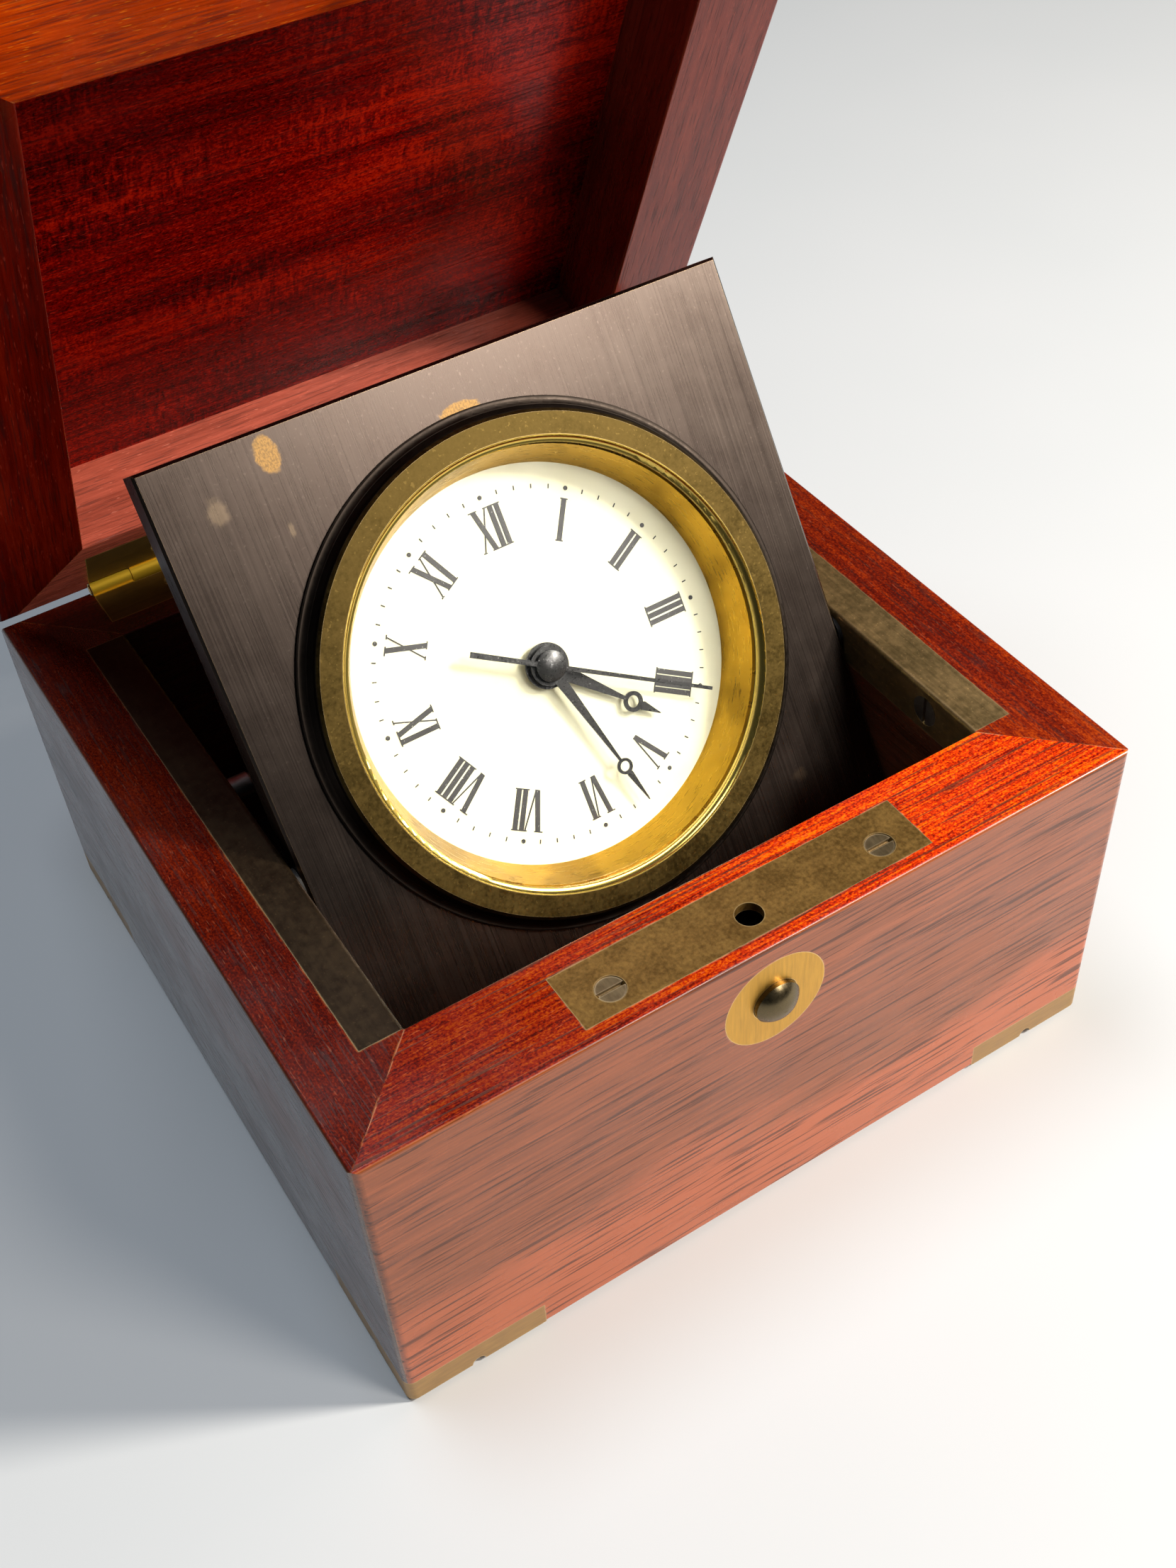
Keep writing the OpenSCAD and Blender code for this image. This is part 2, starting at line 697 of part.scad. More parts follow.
// Phase of a gear that meshes with one of n1 teeth and phase a1, along the line phi
function mesh(phi, a1, n1, n2) = phi + 180 + (phi - a1) * n1 / n2 + 180 / n2;
function at_angle(r, a) = [r * cos(a), r * sin(a), 0];

// Centre distances and directions of the train
third_c = 0.3 * (8 + 60) / 2;
third_a = 60;
center_mod = 2 * third_c / 72;
motion_c = 0.35 * (12 + 36) / 2;
motion_a = 0;
hour_mod = 2 * motion_c / 50;
inter_c = 0.25 * (8 + 40) / 2;
inter_a = 215;
rotor_mod = 0.2;
rotor_c = rotor_mod * (8 + 48) / 2;
rotor_a = 250;
setting_mod = 0.35;
setting_c = motion_c + setting_mod * (12 + 36) / 2;
third_at = at_angle(third_c, third_a);
inter_at = at_angle(inter_c, inter_a);
rotor_at = inter_at + at_angle(rotor_c, rotor_a);

// ---------------------------------------------------------------- movement

move_half = 23;
move_front = -6;
move_back = -16;
move_wall = 1;
battery_at = [-12.5, 12.5, 0];

module movement_case() color("#2f2f33") clock_place() {
    // post that carries the motion wheel
    translate([motion_c, 0, move_front - 5.3]) cylinder(h = 4.8, r = 0.4);
    difference() {
        translate([-move_half, -move_half, move_back + move_wall])
            cube([2 * move_half, 2 * move_half, move_front - move_back - move_wall]);
        translate([-move_half + 1.2, -move_half + 1.2, move_back])
            cube([2 * move_half - 2.4, 2 * move_half - 2.4, move_front - move_back - 1]);
        // opening for the hour tube
        translate([0, 0, move_front - 2]) cylinder(h = 4, r = 1.75);
    }
}

module movement_cover() color("#3b3b40") clock_place()
    difference() {
        union() {
            translate([-move_half, -move_half, move_back]) cube([2 * move_half, 2 * move_half, move_wall]);
            // posts that carry the third wheel and the rotor's wheel
            translate(third_at + [0, 0, move_back + 0.9]) cylinder(h = 5.1, r = 0.4);
            translate(inter_at + [0, 0, move_back + 0.9]) cylinder(h = 2.2, r = 0.4);
        }
        translate([setting_c, 0, move_back - 1]) cylinder(h = 4, r = 1.3);
        translate([battery_at[0] - 6.2, battery_at[1] - 6.2, move_back - 1]) cube([12.4, 12.4, 3]);
    }

// Button cell in its bay, seen from behind
module battery() color("#c4c4c0") clock_place() {
    translate(battery_at + [0, 0, move_back - 2]) cylinder(h = 5.2, r = 5.8);
    translate(battery_at + [0, 0, move_back + 3.2]) cylinder(h = 0.3, r = 4.6);
}

// Circuit board, driving coil with its core, the quartz can and the stator
module coil_and_board() color("#b06a2c") clock_place() {
    translate([-21.5, -21.5, -8.3]) cube([12, 22, 0.8]);
    translate([-15, -19.5, -10.5]) rotate([-90, 0, 0]) cylinder(h = 14, r = 1.9);
    translate([-15, -20.8, -10.5]) rotate([-90, 0, 0]) cylinder(h = 17, r = 0.6);
    translate([-20, -1, -9.6]) rotate([90, 0, 0]) cylinder(h = 6, r = 1);
    // stator plate around the rotor
    difference() {
        translate([-12.9, -13.2, -11.5]) cube([8.3, 7.6, 0.55]);
        translate(rotor_at + [0, 0, -12]) cylinder(h = 2, r = 1.8);
    }
}

// ---------------------------------------------------------------- hands

hour_n = [-3.95, -3.65];
minute_n = [-3.1, -2.8];
seconds_n = [-2.3, -2.05];
hour_tube_r = 1.6;
minute_tube_r = 1.1;
seconds_arbor_r = 0.5;

// Hand with an open ring and a leaf point; angles clockwise from twelve
module ring_hand(hub_r, base_w, end_w, ring_c, ring_r, ring_hole, leaf_w, leaf_r, tip_r)
    difference() {
        union() {
            circle(hub_r);
            polygon([[-base_w / 2, 2], [base_w / 2, 2], [end_w / 2, ring_c - ring_r + 0.2],
                [-end_w / 2, ring_c - ring_r + 0.2]]);
            translate([0, ring_c]) circle(ring_r);
            polygon([[0, ring_c + ring_r - 0.2], [leaf_w * 0.35, ring_c + ring_r - 0.1],
                [leaf_w / 2, leaf_r], [0.07, tip_r], [-0.07, tip_r], [-leaf_w / 2, leaf_r],
                [-leaf_w * 0.35, ring_c + ring_r - 0.1]]);
        }
        translate([0, ring_c]) circle(ring_hole);
    }

module hour_hand() color("#121212") clock_place() rotate([0, 0, -hour_angle])
    difference() {
        translate([0, 0, hour_n[0]]) linear_extrude(hour_n[1] - hour_n[0])
            ring_hand(3.5, 2.5, 0.55, 15.3, 1.6, 0.95, 1.4, 17.1, 20.3);
        translate([0, 0, -9]) cylinder(h = 9, r = hour_tube_r - 0.3);
    }

module minute_hand() color("#121212") clock_place() rotate([0, 0, -minute_angle])
    difference() {
        translate([0, 0, minute_n[0]]) linear_extrude(minute_n[1] - minute_n[0])
            ring_hand(3, 1.75, 0.4, 19.8, 1.27, 0.8, 1.0, 21.2, 26.5);
        translate([0, 0, -9]) cylinder(h = 9, r = minute_tube_r - 0.3);
    }

// Seconds hand with its counterweight tail, its domed cap and the arbor it turns with
cap_r = 2.35;
cap_h = 0.5;
cap_sphere = (cap_r * cap_r + cap_h * cap_h) / (2 * cap_h);
module seconds_hand() color("#121212") clock_place() rotate([0, 0, -seconds_angle]) {
    translate([0, 0, seconds_n[0]]) linear_extrude(seconds_n[1] - seconds_n[0]) {
        circle(cap_r);
        polygon([[-0.36, 0], [0.36, 0], [0.27, 27.2], [-0.27, 27.2]]);
        polygon([[-0.36, 0], [0.36, 0], [0.45, -12.9], [-0.45, -12.9]]);
    }
    intersection() {
        translate([0, 0, seconds_n[1]]) cylinder(h = cap_h, r = cap_r);
        translate([0, 0, seconds_n[1] + cap_h - cap_sphere]) sphere(cap_sphere);
    }
}

// ---------------------------------------------------------------- wheels

// Seconds wheel, pinion and arbor
module seconds_wheel() color("#b99546") clock_place() {
    gear(40, 0.25, 0, -14.2, 0.5);
    gear(8, 0.3, 0, -13.7, 1.2);
    translate([0, 0, -14.9]) cylinder(h = 14.9 + seconds_n[0], r = seconds_arbor_r);
}

third_phase = mesh(third_a, 0, 8, 60);
module third_wheel() color("#b99546") clock_place() translate(third_at) {
    gear(60, 0.3, third_phase, -13.3, 0.5, 0.45);
    gear(8, center_mod, third_phase, -12.8, 1.4, 0.45);
}

// Minute wheel with its pinion and the tube that carries the minute hand
minute_phase = mesh(third_a + 180, third_phase, 8, 64);
module minute_wheel() color("#b99546") clock_place()
    difference() {
        union() {
            gear(64, center_mod, minute_phase, -12.1, 0.5);
            gear(12, 0.35, 0, -11.6, 1.4);
            translate([0, 0, -11.6]) cylinder(h = 11.6 + minute_n[1], r = minute_tube_r - 0.32);
            translate([0, 0, -10.2]) cylinder(h = 10.2 + minute_n[0], r = minute_tube_r);
        }
        translate([0, 0, -15]) cylinder(h = 20, r = seconds_arbor_r + 0.06);
    }

motion_phase = mesh(motion_a, 0, 12, 36);
module motion_wheel() color("#b99546") clock_place() translate([motion_c, 0, 0]) {
    gear(36, 0.35, motion_phase, -11.1, 0.6, 0.45);
    gear(10, hour_mod, motion_phase, -10.5, 1.6, 0.45);
}

hour_phase = mesh(motion_a + 180, motion_phase, 10, 40);
module hour_wheel() color("#b99546") clock_place()
    difference() {
        union() {
            gear(40, hour_mod, hour_phase, -9.7, 0.6);
            translate([0, 0, -9.1]) cylinder(h = 9.1 + hour_n[0], r = hour_tube_r);
            translate([0, 0, -9.1]) cylinder(h = 9.1 + hour_n[1], r = hour_tube_r - 0.32);
        }
        translate([0, 0, -12]) cylinder(h = 12, r = minute_tube_r + 0.06);
    }

// Setting knob behind the case, with the pinion that drives the motion wheel
setting_phase = mesh(0, motion_phase, 36, 12);
module setting_knob() color("#d8d6cf") clock_place() translate([setting_c, 0, 0]) {
    gear(12, setting_mod, setting_phase, -11.2, 0.8);
    translate([0, 0, -22.6]) cylinder(h = 11.6, r = 1.25);
    translate([0, 0, -25]) linear_extrude(2.6) union() {
        circle(3.6);
        for (a = [0:30:330]) rotate(a) translate([3.6, 0]) circle(0.35, $fn = 24);
    }
}

module rotor_wheel() color("#b99546") clock_place() translate(inter_at) {
    gear(8, 0.25, mesh(inter_a, 0, 40, 8), -14.45, 0.85, 0.45);
    gear(48, rotor_mod, 0, -14.9, 0.45, 0.45);
}

module rotor() color("#9fa3a6") clock_place() translate(rotor_at) {
    gear(8, rotor_mod, mesh(rotor_a, 0, 48, 8), -14.95, 0.6);
    translate([0, 0, -12.7]) cylinder(h = 1.8, r = 1.4);
    translate([0, 0, -14.95]) cylinder(h = 5.5, r = 0.3);
}

base_front_board();
base_right_board();
base_rear_board();
base_left_board();
bottom_panel();
floor_lining();
base_felt();
corner_brasses();
corner_screws();
lock_plate();
lock_plate_screws();
escutcheon();
catch_spring();
rail_left();
rail_right();
rail_screws();
rest_studs();
pivot_pins();
friction_washers();
hinge_leaves_lower();
hinge_pins();
hinge_screws_lower();
push_button();
catch_slide();
lid_front_rail();
lid_right_rail();
lid_rear_rail();
lid_left_rail();
lid_panel();
lid_latch_plate();
lid_latch_screws();
latch_stud();
hinge_leaves_upper();
hinge_screws_upper();
clock_plate();
bezel();
crystal();
crystal_gasket();
rehaut_ring();
dial();
dial_markers();
case_can();
case_back();
retaining_ring();
retaining_screws();
movement_case();
movement_cover();
coil_and_board();
battery();
seconds_hand();
seconds_wheel();
third_wheel();
minute_hand();
minute_wheel();
motion_wheel();
hour_hand();
hour_wheel();
setting_knob();
rotor();
rotor_wheel();
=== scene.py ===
"""Boxed deck clock: materials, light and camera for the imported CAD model."""
import json
import math

import bpy
from mathutils import Matrix, Vector

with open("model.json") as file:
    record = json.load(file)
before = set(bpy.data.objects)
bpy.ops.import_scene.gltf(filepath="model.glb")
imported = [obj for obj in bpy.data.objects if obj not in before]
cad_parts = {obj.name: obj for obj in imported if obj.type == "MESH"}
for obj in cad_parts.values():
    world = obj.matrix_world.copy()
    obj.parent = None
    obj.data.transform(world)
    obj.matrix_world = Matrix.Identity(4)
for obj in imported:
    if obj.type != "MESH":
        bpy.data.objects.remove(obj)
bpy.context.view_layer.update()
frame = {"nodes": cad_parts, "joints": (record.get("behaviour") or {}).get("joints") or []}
NODES = frame["nodes"]
JOINTS = {joint["name"]: joint for joint in frame["joints"]}

MM = 0.001
X, Y, Z = Vector((1, 0, 0)), Vector((0, 1, 0)), Vector((0, 0, 1))

# ------------------------------------------------------------ the object's own directions
#
# A space is an origin and three axes. Wood grain runs along the first axis. The lid and the
# clock are drawn part open, so their spaces are turned by the angle from the shut position,
# which is the low limit of their joints.

PLATE_THICKNESS = 5.6 * MM
PIVOT_TO_DIAL = 13.9 * MM


def turned_about_x(degrees):
    """Y and Z after a turn about X."""
    turn = Matrix.Rotation(math.radians(degrees), 3, "X")
    return turn @ Y, turn @ Z


lid_open = -JOINTS["lid_hinge"]["range_deg"][0]
hinge_axis = Vector(JOINTS["lid_hinge"]["pos_m"])
lid_y, lid_z = turned_about_x(-lid_open)

clock_tilt = -JOINTS["clock_tilt"]["range_deg"][0]
pivot = Vector(JOINTS["clock_tilt"]["pos_m"])
plate_up, plate_out = turned_about_x(clock_tilt)
dial_centre = pivot + plate_up * PIVOT_TO_DIAL + plate_out * PLATE_THICKNESS / 2

ORIGIN = Vector((0, 0, 0))
ALONG_X = (ORIGIN, X, Y, Z)
ALONG_Y = (ORIGIN, Y, X, Z)
LID_ALONG_X = (hinge_axis, X, lid_y, lid_z)
LID_ALONG_Y = (hinge_axis, lid_y, X, lid_z)
# x to the right, y up the plate and z out of its face
CLOCK = (dial_centre, X, plate_up, plate_out)


# ------------------------------------------------------------ node graph helpers

def grey(level):
    return (level,) * 3


class Graph:
    """A material's nodes, with short calls for the few kinds used here."""

    def __init__(self, name, space=ALONG_X):
        self.material = bpy.data.materials.new(name)
        self.material.use_nodes = True
        self.tree = self.material.node_tree
        self.tree.nodes.clear()
        self.output = self.tree.nodes.new("ShaderNodeOutputMaterial")
        self.shader = self.tree.nodes.new("ShaderNodeBsdfPrincipled")
        self.link(self.shader.outputs["BSDF"], self.output.inputs["Surface"])
        origin, *self.axes = space
        object_point = self.add("ShaderNodeTexCoord").outputs["Object"]
        self.point = self.vector("SUBTRACT", object_point, origin)

    def add(self, kind, **settings):
        node = self.tree.nodes.new(kind)
        for key, value in settings.items():
            setattr(node, key, value)
        return node

    def link(self, output, socket):
        self.tree.links.new(output, socket)

    def feed(self, socket, value):
        """Links another node's output to the socket, or sets a number, vector or colour on it."""
        if isinstance(value, bpy.types.NodeSocket):
            self.link(value, socket)
            return
        if isinstance(value, (tuple, list, Vector)):
            value = tuple(value)
            if len(value) == 3 and len(socket.default_value) == 4:
                value += (1.0,)
        socket.default_value = value

    def set(self, **values):
        """Feeds the shader's sockets, named with underscores, and gives the material."""
        for key, value in values.items():
            self.feed(self.shader.inputs[key.replace("_", " ")], value)
        return self.material

    # numbers and vectors

    def vector(self, operation, a, b=None):
        node = self.add("ShaderNodeVectorMath", operation=operation)
        self.feed(node.inputs[0], a)
        if b is not None:
            self.feed(node.inputs[1], b)
        return node.outputs["Value" if operation in ("DOT_PRODUCT", "LENGTH") else "Vector"]

    def math(self, operation, a, b=0.0):
        node = self.add("ShaderNodeMath", operation=operation)
        self.feed(node.inputs[0], a)
        self.feed(node.inputs[1], b)
        return node.outputs[0]

    def times(self, a, b):
        return self.math("MULTIPLY", a, b)

    def plus(self, a, b):
        return self.math("ADD", a, b)

    def swing(self, value, amount):
        """A noise value moved to lie round zero, times an amount."""
        return self.times(self.math("SUBTRACT", value, 0.5), amount)

    def combined(self, parts):
        """A vector from its parts, given by number: 0, 1 and 2."""
        node = self.add("ShaderNodeCombineXYZ")
        for k, part in parts.items():
            self.feed(node.inputs[k], part)
        return node.outputs[0]

    def between(self, value, low, high, to_low=0.0, to_high=1.0):
        """A smooth step from to_low, at low and under, to to_high, at high and over."""
        node = self.add("ShaderNodeMapRange", interpolation_type="SMOOTHSTEP")
        for socket, number in zip(node.inputs, (value, low, high, to_low, to_high)):
            self.feed(socket, number)
        return node.outputs["Result"]

    # places on the object

    def along(self, axis):
        """Distance in metres along the space's axis 0, 1 or 2."""
        return self.vector("DOT_PRODUCT", self.point, self.axes[axis])

    def dial_radius(self):
        """Distance from the dial's centre, in the clock's space."""
        return self.vector("LENGTH", self.combined({0: self.along(0), 1: self.along(1)}))

    def local_normal(self):
        """The surface's direction in the object's own axes, which turn with the body."""
        node = self.add("ShaderNodeVectorTransform", vector_type="NORMAL",
                        convert_from="WORLD", convert_to="OBJECT")
        self.link(self.add("ShaderNodeNewGeometry").outputs["Normal"], node.inputs[0])
        return node.outputs[0]

    def edges(self, radius):
        """1 near sharp edges, 0 on flat faces."""
        bevel = self.add("ShaderNodeBevel", samples=6)
        bevel.inputs["Radius"].default_value = radius
        normal = self.add("ShaderNodeNewGeometry").outputs["Normal"]
        turn = self.vector("DOT_PRODUCT", bevel.outputs["Normal"], normal)
        return self.between(self.math("SUBTRACT", 1.0, turn), 0.02, 0.25)

    # patterns and colours

    def noise(self, coordinates, detail, roughness, distortion=0.0):
        node = self.add("ShaderNodeTexNoise")
        self.feed(node.inputs["Vector"], coordinates)
        self.feed(node.inputs["Scale"], 1.0)
        self.feed(node.inputs["Detail"], detail)
        self.feed(node.inputs["Roughness"], roughness)
        self.feed(node.inputs["Distortion"], distortion)
        return node.outputs["Fac"]

    def cells(self, per_metre, detail, roughness, distortion=0.0, shift=(0, 0, 0)):
        """Noise with so many cells per metre, the same all ways or given for each axis.

        shift moves the pattern, in cells, so that two of the same size differ.
        """
        if isinstance(per_metre, (int, float)):
            per_metre = (per_metre,) * 3
        parts = {}
        for k in range(3):
            scaled = self.vector("DOT_PRODUCT", self.point, self.axes[k] * per_metre[k])
            parts[k] = self.plus(scaled, shift[k])
        return self.noise(self.combined(parts), detail, roughness, distortion)

    def spot(self, centre, radii, wobble, softness=0.25):
        """1 inside an ellipse, given in mm on axes 0 and 1, with an uneven rim."""
        squares = []
        for k in (0, 1):
            offset = self.math("SUBTRACT", self.along(k), centre[k] * MM)
            reach = self.math("ABSOLUTE", self.math("DIVIDE", offset, radii[k] * MM))
            squares.append(self.math("POWER", reach, 2.0))
        reach = self.math("SQRT", self.plus(*squares))
        reach = self.plus(reach, self.swing(self.cells(900, 3.0, 0.6), wobble))
        return self.between(reach, 1.0 - softness, 1.0, 1.0, 0.0)

    def spots(self, places):
        """1 inside any of the spots."""
        first, *others = [self.spot(*place) for place in places]
        for other in others:
            first = self.math("MAXIMUM", first, other)
        return first

    def ramp(self, factor, stops):
        """Colour ramp; stops are (position, colour) with a grey level or three numbers."""
        node = self.add("ShaderNodeValToRGB")
        elements = node.color_ramp.elements
        while len(elements) < len(stops):
            elements.new(0.5)
        for element, (position, colour) in zip(elements, stops):
            element.position = position
            if isinstance(colour, (int, float)):
                colour = grey(colour)
            element.color = (*colour, 1.0)
        self.feed(node.inputs["Fac"], factor)
        return node.outputs["Color"]

    def mix(self, factor, a, b, blend="MIX"):
        node = self.add("ShaderNodeMix", data_type="RGBA", blend_type=blend)
        # a Mix node lists its colour sockets as inputs 6 and 7 and its colour result as output 2
        self.feed(node.inputs[0], factor)
        self.feed(node.inputs[6], a)
        self.feed(node.inputs[7], b)
        return node.outputs[2]

    def bump(self, height, distance, strength):
        node = self.add("ShaderNodeBump")
        self.feed(node.inputs["Strength"], strength)
        self.feed(node.inputs["Distance"], distance)
        self.feed(node.inputs["Height"], height)
        return node.outputs["Normal"]


def dress(material, *names):
    """Gives CAD nodes a material on every slot."""
    for name in names:
        slots = NODES[name].data.materials
        if len(slots) == 0:
            slots.append(material)
        for k in range(len(slots)):
            slots[k] = material


# ------------------------------------------------------------ wood

# noise cells per metre along the grain, then across it both ways
FIGURE_CELLS = (9, 60, 60)
GRAIN_CELLS = (24, 700, 700)
FIBRE_CELLS = (190, 3600, 3600)
BAR_CELLS = (1250, 260, 260)
BAR_PATCH_CELLS = (45, 60, 60)
SPECKLE_CELLS = (2300, 3000, 3000)
RIM_SPECKLE_CELLS = (2600, 3300, 3300)
LINE_CELLS = (150, 3000)
DASH_CELLS = (620, 4200, 4200)
BAND_EDGE_CELLS = (20, 30, 60)
EDGE_WEAR_AND_HIGHLIGHT_CELLS = (260, 400, 400)

TONE_STOPS = (0.36, 0.5, 0.64)
FIBRE_SHARE = 0.2
RIM_SPECKLE = 0.55
FADE_WANDER = 0.05
BAND_WANDER = 0.030
DASH_STRENGTH = 0.25
EDGE_WEAR_AND_HIGHLIGHT_RADIUS = 0.5 * MM
LACQUER_ROUGHNESS = 0.1


def faded(g, colour, figure, fade):
    """The colour, darker at the low end of the grain with an uneven change."""
    if not fade:
        return colour
    low, high, factor = fade
    along = g.plus(g.along(0), g.swing(figure, FADE_WANDER))
    shade = (factor, factor * 0.8, factor)
    return g.mix(g.between(along, low, high, 1.0, 0.0), colour, shade, "MULTIPLY")


def wood_tone(g, at, figure, fineness, ripple, mottle):
    """The broad figure, the fibres and the tone, 0 to 1, that they add up to."""
    broad = g.cells(FIGURE_CELLS, 3.0, 0.55, 0.5, at)
    length, *widths = GRAIN_CELLS
    grain_cells = (length, *(width * fineness for width in widths))
    grain = g.cells(grain_cells, 5.0, 0.62, 0.35, at)
    fibre = g.cells(FIBRE_CELLS, 3.0, 0.6, shift=at)
    tone = g.plus(g.times(broad, figure), g.times(grain, 1.0 - FIBRE_SHARE - figure))
    tone = g.plus(tone, g.times(fibre, FIBRE_SHARE))
    if ripple:
        bars = g.cells(BAR_CELLS, 3.0, 0.6, 0.8, at)
        patches = g.cells(BAR_PATCH_CELLS, 3.0, 0.6, shift=at)
        bars = g.times(g.math("SUBTRACT", bars, 0.5), g.between(patches, 0.4, 0.62))
        tone = g.plus(tone, g.times(bars, ripple))
    if mottle:
        tone = g.plus(tone, g.swing(g.cells(SPECKLE_CELLS, 2.0, 0.55, shift=at), mottle))
    return broad, fibre, tone


def wood(name, space, dark, middle, light, seed, rim=None, band=None, fade=None, mottle=0.0,
         ripple=0.0, figure=0.45, fineness=1.0, lines=0.5, line_cells=LINE_CELLS,
         edge_wear_and_highlight_colour=(0.42, 0.16, 0.05), edge_wear_and_highlight_amount=0.7, gloss=0.2, coat=0.2, specular=0.45):
    """Polished mahogany whose grain runs along the space's first axis.

    rim is (direction, dark, middle, light) for the faces turned that way, in another tone; on the
    front board that tone is a bright orange painted sheen.
    band is (height, slope, strength, colour): wood below that height, at that slope, is of
    another tone.
    fade is (low, high, factor): darker by that factor below low along the grain, on the rim
    where there is one.
    mottle is the strength of a fine even speckle, ripple that of bars across the grain, and
    figure the share of the broad cloudy figure against the fine grain. fineness above 1
    packs the grain closer. lines is the strength of thin dark lines, and line_cells their
    noise cells per metre along the grain and across it.
    """
    g = Graph(name, space)
    at = (seed * 3.1, seed * 1.7, seed * 2.3)
    broad, fibre, tone = wood_tone(g, at, figure, fineness, ripple, mottle)
    colour = g.ramp(tone, list(zip(TONE_STOPS, (dark, middle, light))))
    if not rim:
        colour = faded(g, colour, broad, fade)
    if band:
        height, slope, strength, band_colour = band
        drift = g.cells(BAND_EDGE_CELLS, 4.0, 0.6, shift=(3, 3, 3))
        above = g.math("SUBTRACT", g.along(2), g.times(g.along(0), slope))
        above = g.plus(above, g.swing(drift, BAND_WANDER))
        inside = g.between(above, height - 4 * MM, height + 6 * MM, 1.0, 0.0)
        colour = g.mix(g.times(inside, strength), colour, band_colour)
    # faces turned the rim's way take the rim tone, which on the front board is painted sheen
    if rim:
        direction, *rim_colours = rim
        speckle = g.cells(RIM_SPECKLE_CELLS, 2.0, 0.55, shift=at)
        rim_tone = g.plus(tone, g.swing(speckle, RIM_SPECKLE))
        rim_tone_and_sheen = faded(g, g.ramp(rim_tone, list(zip(TONE_STOPS, rim_colours))), broad, fade)
        facing = g.vector("DOT_PRODUCT", g.local_normal(), direction)
        colour = g.mix(g.between(facing, 0.7, 0.9), colour, rim_tone_and_sheen)

    # thin dark lines and short pale dashes along the grain
    along, across = line_cells
    line = g.cells((along, across, across), 2.0, 0.5, shift=(at[0] + 9, *at[1:]))
    line = g.between(line, 0.53, 0.66)
    colour = g.mix(g.times(line, lines), colour, tuple(c * 0.35 for c in dark))
    dash = g.cells(DASH_CELLS, 1.0, 0.5, shift=(at[0] + 4, *at[1:]))
    pale = tuple(min(1.0, c * 1.9 + 0.02) for c in light)
    colour = g.mix(g.times(g.between(dash, 0.66, 0.74), DASH_STRENGTH), colour, pale)

    # edges lighter in patches: partly rubbed wear, partly painted edge highlight
    patchy = g.between(g.cells(EDGE_WEAR_AND_HIGHLIGHT_CELLS, 3.0, 0.6, shift=at), 0.42, 0.62)
    edge_wear_and_highlight_mask = g.times(g.edges(EDGE_WEAR_AND_HIGHLIGHT_RADIUS), g.times(patchy, edge_wear_and_highlight_amount))
    colour = g.mix(edge_wear_and_highlight_mask, colour, edge_wear_and_highlight_colour)

    smudge = g.cells(60, 4.0, 0.6, shift=at)
    roughness = g.between(smudge, 0.3, 0.7, gloss, gloss + 0.14)
    roughness = g.plus(roughness, g.times(line, 0.15))
    height = g.math("SUBTRACT", g.times(fibre, 0.3), line)
    return g.set(Base_Color=colour, Roughness=roughness, Normal=g.bump(height, 0.015 * MM, 0.5),
                 Coat_Weight=coat, Coat_Roughness=LACQUER_ROUGHNESS,
                 Specular_IOR_Level=specular)


# dark, middle and light tones of each board
FRONT = ((0.17, 0.040, 0.010), (0.26, 0.062, 0.012), (0.36, 0.086, 0.021))
FRONT_FOOT = (0.52, 0.115, 0.034)
# SIDE is far darker than FRONT; on the left board that darkness is partly painted shade for its
# unlit face
SIDE = ((0.045, 0.013, 0.006), (0.11, 0.031, 0.012), (0.19, 0.05, 0.02))
# FRONT_RIM is far brighter orange than the other rims: painted sheen
FRONT_RIM = ((0.16, 0.003, 0.0), (0.62, 0.029, 0.0002), (0.96, 0.16, 0.001))
SIDE_RIM = ((0.03, 0.001, 0.0003), (0.09, 0.005, 0.0003), (0.18, 0.015, 0.0006))
RIGHT_RIM = ((0.07, 0.003, 0.0005), (0.19, 0.012, 0.0005), (0.36, 0.04, 0.001))
# LID_FRONT is far brighter orange than the other lid rails: painted sheen
LID_FRONT = ((0.13, 0.006, 0.0), (0.45, 0.038, 0.0), (0.95, 0.20, 0.001))
LID_SIDE = ((0.025, 0.0005, 0.0), (0.08, 0.002, 0.0), (0.16, 0.008, 0.001))
# LID_REAR's pale pinkish tones are a painted reflection on the rail's inner face
LID_REAR = ((0.24, 0.043, 0.024), (0.47, 0.094, 0.056), (0.63, 0.15, 0.096))
LID_RIGHT = ((0.065, 0.005, 0.002), (0.14, 0.014, 0.006), (0.22, 0.031, 0.013))
PANEL = ((0.045, 0.0001, 0.0), (0.23, 0.0009, 0.0), (0.56, 0.014, 0.0002))

# front board: its rim tone is painted sheen, and its edge colour a brighter mix of wear and
# painted edge highlight
dress(wood("front board", ALONG_X, *FRONT, seed=1, band=(18.5 * MM, 0.02, 0.8, FRONT_FOOT),
           rim=(Z, *FRONT_RIM), fade=(-50 * MM, 35 * MM, 0.28), figure=0.12, fineness=2.8,
           lines=0.8, line_cells=(60, 2100), edge_wear_and_highlight_colour=(0.62, 0.30, 0.16)), "base_front_board")
dress(wood("right board", ALONG_Y, *SIDE, seed=5, rim=(Z, *RIGHT_RIM)), "base_right_board")
dress(wood("rear board", ALONG_X, *SIDE, seed=9, rim=(Z, *SIDE_RIM)), "base_rear_board")
dress(wood("left board", ALONG_Y, *SIDE, seed=14, rim=(Z, *SIDE_RIM), coat=0.4),
      "base_left_board")
dress(wood("bottom panel", ALONG_X, *SIDE, seed=51, coat=0.05, gloss=0.45), "bottom_panel")
dress(wood("lid front rail", LID_ALONG_X, *LID_FRONT, seed=21, specular=0.15, coat=0.03),
      "lid_front_rail")
dress(wood("lid right rail", LID_ALONG_Y, *LID_RIGHT, seed=25, specular=0.25, coat=0.05),
      "lid_right_rail")
